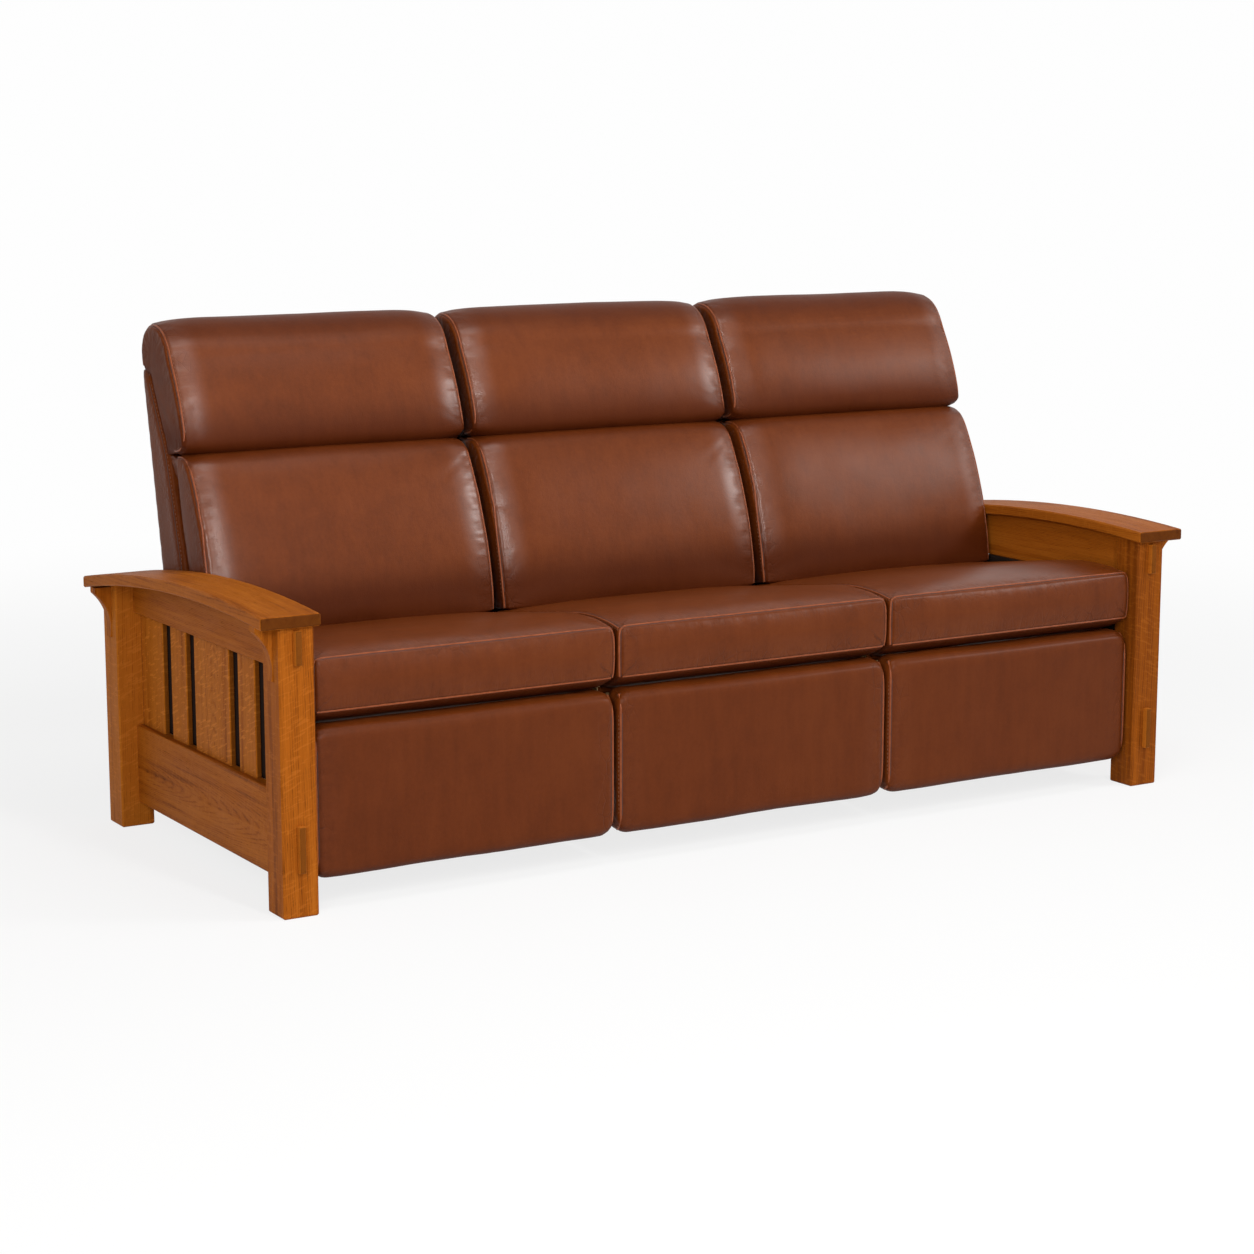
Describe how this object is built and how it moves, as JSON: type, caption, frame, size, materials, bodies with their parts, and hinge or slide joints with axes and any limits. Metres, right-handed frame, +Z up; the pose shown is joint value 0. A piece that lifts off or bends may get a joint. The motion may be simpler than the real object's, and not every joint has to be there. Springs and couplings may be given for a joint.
{
  "type": "reclining sofa",
  "caption": "High-back reclining sofa with slatted oak arms, leather seat, lumbar and headrest cushions, and fold-out footrests.",
  "frame": {"origin": "on the floor under the middle of the sofa", "axes": "+Z up, +X to the right of someone facing the sofa, the sofa faces -Y"},
  "size_m": [2.241, 0.92, 1.088],
  "materials": {
    "oak": "stained and satin lacquered, chamfered edges",
    "leather": "smooth brown-red hide with a soft sheen",
    "frame_wood": "plain sawn hardwood",
    "mechanism_steel": "black paint, semi-gloss",
    "spring_steel": "bright wire"
  },
  "bodies": {
    "frame": {"arm_board_left": "oak", "arm_board_right": "oak", "base_rails": "frame_wood", "front_corbel_left": "oak", "front_corbel_right": "oak", "front_cross_rail": "frame_wood", "front_post_left": "oak", "front_post_right": "oak", "lower_side_rail_left": "oak", "lower_side_rail_right": "oak", "rear_corbel_left": "oak", "rear_corbel_right": "oak", "rear_cross_rail": "frame_wood", "rear_post_left": "oak", "rear_post_right": "oak", "side_slats_left": "oak", "side_slats_right": "oak", "tenon_ends": "oak", "upper_side_rail_left": "oak", "upper_side_rail_right": "oak"},
    "seat_1": {"seat_cushion_1": "leather", "seat_frame_1": "frame_wood", "seat_springs_1": "spring_steel", "mechanism_frame_1": "mechanism_steel"},
    "back_1": {"back_frame_1": "leather", "lumbar_cushion_1": "leather", "headrest_1": "leather"},
    "drive_link_1": {"footrest_drive_link_1": "mechanism_steel"},
    "guide_link_1": {"footrest_guide_link_1": "mechanism_steel"},
    "upper_arm_1": {"footrest_upper_arm_1": "mechanism_steel"},
    "lower_arm_1": {"footrest_lower_arm_1": "mechanism_steel"},
    "footrest_1": {"footrest_pad_1": "leather", "footrest_brackets_1": "mechanism_steel"},
    "seat_2": {"seat_cushion_2": "leather", "seat_frame_2": "frame_wood", "seat_springs_2": "spring_steel", "mechanism_frame_2": "mechanism_steel"},
    "back_2": {"back_frame_2": "leather", "lumbar_cushion_2": "leather", "headrest_2": "leather"},
    "drive_link_2": {"footrest_drive_link_2": "mechanism_steel"},
    "guide_link_2": {"footrest_guide_link_2": "mechanism_steel"},
    "upper_arm_2": {"footrest_upper_arm_2": "mechanism_steel"},
    "lower_arm_2": {"footrest_lower_arm_2": "mechanism_steel"},
    "footrest_2": {"footrest_pad_2": "leather", "footrest_brackets_2": "mechanism_steel"},
    "seat_3": {"seat_cushion_3": "leather", "seat_frame_3": "frame_wood", "seat_springs_3": "spring_steel", "mechanism_frame_3": "mechanism_steel"},
    "back_3": {"back_frame_3": "leather", "lumbar_cushion_3": "leather", "headrest_3": "leather"},
    "drive_link_3": {"footrest_drive_link_3": "mechanism_steel"},
    "guide_link_3": {"footrest_guide_link_3": "mechanism_steel"},
    "upper_arm_3": {"footrest_upper_arm_3": "mechanism_steel"},
    "lower_arm_3": {"footrest_lower_arm_3": "mechanism_steel"},
    "footrest_3": {"footrest_pad_3": "leather", "footrest_brackets_3": "mechanism_steel"}
  },
  "joints": [
    {"name": "seat_slide_1", "type": "slide", "parent": "frame", "child": "seat_1", "axis": [0, -1, 0], "range_m": [0, 0.09]},
    {"name": "back_recline_1", "type": "hinge", "parent": "seat_1", "child": "back_1", "pos_m": [-0.671, 0.155, 0.33], "axis": [-1, 0, 0], "range_deg": [0, 32]},
    {"name": "footrest_open_1", "type": "hinge", "parent": "seat_1", "child": "drive_link_1", "pos_m": [-0.671, -0.288, 0.311], "axis": [-1, 0, 0], "range_deg": [0, 90]},
    {"name": "guide_link_turn_1", "type": "hinge", "parent": "seat_1", "child": "guide_link_1", "pos_m": [-0.671, -0.218, 0.318], "axis": [-1, 0, 0], "range_deg": [0, 90]},
    {"name": "upper_arm_turn_1", "type": "hinge", "parent": "drive_link_1", "child": "upper_arm_1", "pos_m": [-0.671, -0.219, 0.197], "axis": [-1, 0, 0], "range_deg": [-90, 0]},
    {"name": "lower_arm_turn_1", "type": "hinge", "parent": "drive_link_1", "child": "lower_arm_1", "pos_m": [-0.671, -0.219, 0.142], "axis": [-1, 0, 0], "range_deg": [-90, 0]},
    {"name": "footrest_turn_1", "type": "hinge", "parent": "lower_arm_1", "child": "footrest_1", "pos_m": [-0.671, -0.349, 0.266], "axis": [-1, 0, 0], "range_deg": [0, 90]},
    {"name": "seat_slide_2", "type": "slide", "parent": "frame", "child": "seat_2", "axis": [0, -1, 0], "range_m": [0, 0.09]},
    {"name": "back_recline_2", "type": "hinge", "parent": "seat_2", "child": "back_2", "pos_m": [0, 0.155, 0.33], "axis": [-1, 0, 0], "range_deg": [0, 32]},
    {"name": "footrest_open_2", "type": "hinge", "parent": "seat_2", "child": "drive_link_2", "pos_m": [0, -0.288, 0.311], "axis": [-1, 0, 0], "range_deg": [0, 90]},
    {"name": "guide_link_turn_2", "type": "hinge", "parent": "seat_2", "child": "guide_link_2", "pos_m": [0, -0.218, 0.318], "axis": [-1, 0, 0], "range_deg": [0, 90]},
    {"name": "upper_arm_turn_2", "type": "hinge", "parent": "drive_link_2", "child": "upper_arm_2", "pos_m": [0, -0.219, 0.197], "axis": [-1, 0, 0], "range_deg": [-90, 0]},
    {"name": "lower_arm_turn_2", "type": "hinge", "parent": "drive_link_2", "child": "lower_arm_2", "pos_m": [0, -0.219, 0.142], "axis": [-1, 0, 0], "range_deg": [-90, 0]},
    {"name": "footrest_turn_2", "type": "hinge", "parent": "lower_arm_2", "child": "footrest_2", "pos_m": [0, -0.349, 0.266], "axis": [-1, 0, 0], "range_deg": [0, 90]},
    {"name": "seat_slide_3", "type": "slide", "parent": "frame", "child": "seat_3", "axis": [0, -1, 0], "range_m": [0, 0.09]},
    {"name": "back_recline_3", "type": "hinge", "parent": "seat_3", "child": "back_3", "pos_m": [0.671, 0.155, 0.33], "axis": [-1, 0, 0], "range_deg": [0, 32]},
    {"name": "footrest_open_3", "type": "hinge", "parent": "seat_3", "child": "drive_link_3", "pos_m": [0.671, -0.288, 0.311], "axis": [-1, 0, 0], "range_deg": [0, 90]},
    {"name": "guide_link_turn_3", "type": "hinge", "parent": "seat_3", "child": "guide_link_3", "pos_m": [0.671, -0.218, 0.318], "axis": [-1, 0, 0], "range_deg": [0, 90]},
    {"name": "upper_arm_turn_3", "type": "hinge", "parent": "drive_link_3", "child": "upper_arm_3", "pos_m": [0.671, -0.219, 0.197], "axis": [-1, 0, 0], "range_deg": [-90, 0]},
    {"name": "lower_arm_turn_3", "type": "hinge", "parent": "drive_link_3", "child": "lower_arm_3", "pos_m": [0.671, -0.219, 0.142], "axis": [-1, 0, 0], "range_deg": [-90, 0]},
    {"name": "footrest_turn_3", "type": "hinge", "parent": "lower_arm_3", "child": "footrest_3", "pos_m": [0.671, -0.349, 0.266], "axis": [-1, 0, 0], "range_deg": [0, 90]}
  ],
  "couplings": [
    {"joint": "seat_slide_1", "follows": "back_recline_1", "m_per_rad": 0.161},
    {"joint": "guide_link_turn_1", "follows": "footrest_open_1", "ratio": 1},
    {"joint": "upper_arm_turn_1", "follows": "footrest_open_1", "ratio": -1},
    {"joint": "lower_arm_turn_1", "follows": "footrest_open_1", "ratio": -1},
    {"joint": "footrest_turn_1", "follows": "footrest_open_1", "ratio": 1},
    {"joint": "seat_slide_2", "follows": "back_recline_2", "m_per_rad": 0.161},
    {"joint": "guide_link_turn_2", "follows": "footrest_open_2", "ratio": 1},
    {"joint": "upper_arm_turn_2", "follows": "footrest_open_2", "ratio": -1},
    {"joint": "lower_arm_turn_2", "follows": "footrest_open_2", "ratio": -1},
    {"joint": "footrest_turn_2", "follows": "footrest_open_2", "ratio": 1},
    {"joint": "seat_slide_3", "follows": "back_recline_3", "m_per_rad": 0.161},
    {"joint": "guide_link_turn_3", "follows": "footrest_open_3", "ratio": 1},
    {"joint": "upper_arm_turn_3", "follows": "footrest_open_3", "ratio": -1},
    {"joint": "lower_arm_turn_3", "follows": "footrest_open_3", "ratio": -1},
    {"joint": "footrest_turn_3", "follows": "footrest_open_3", "ratio": 1}
  ]
}
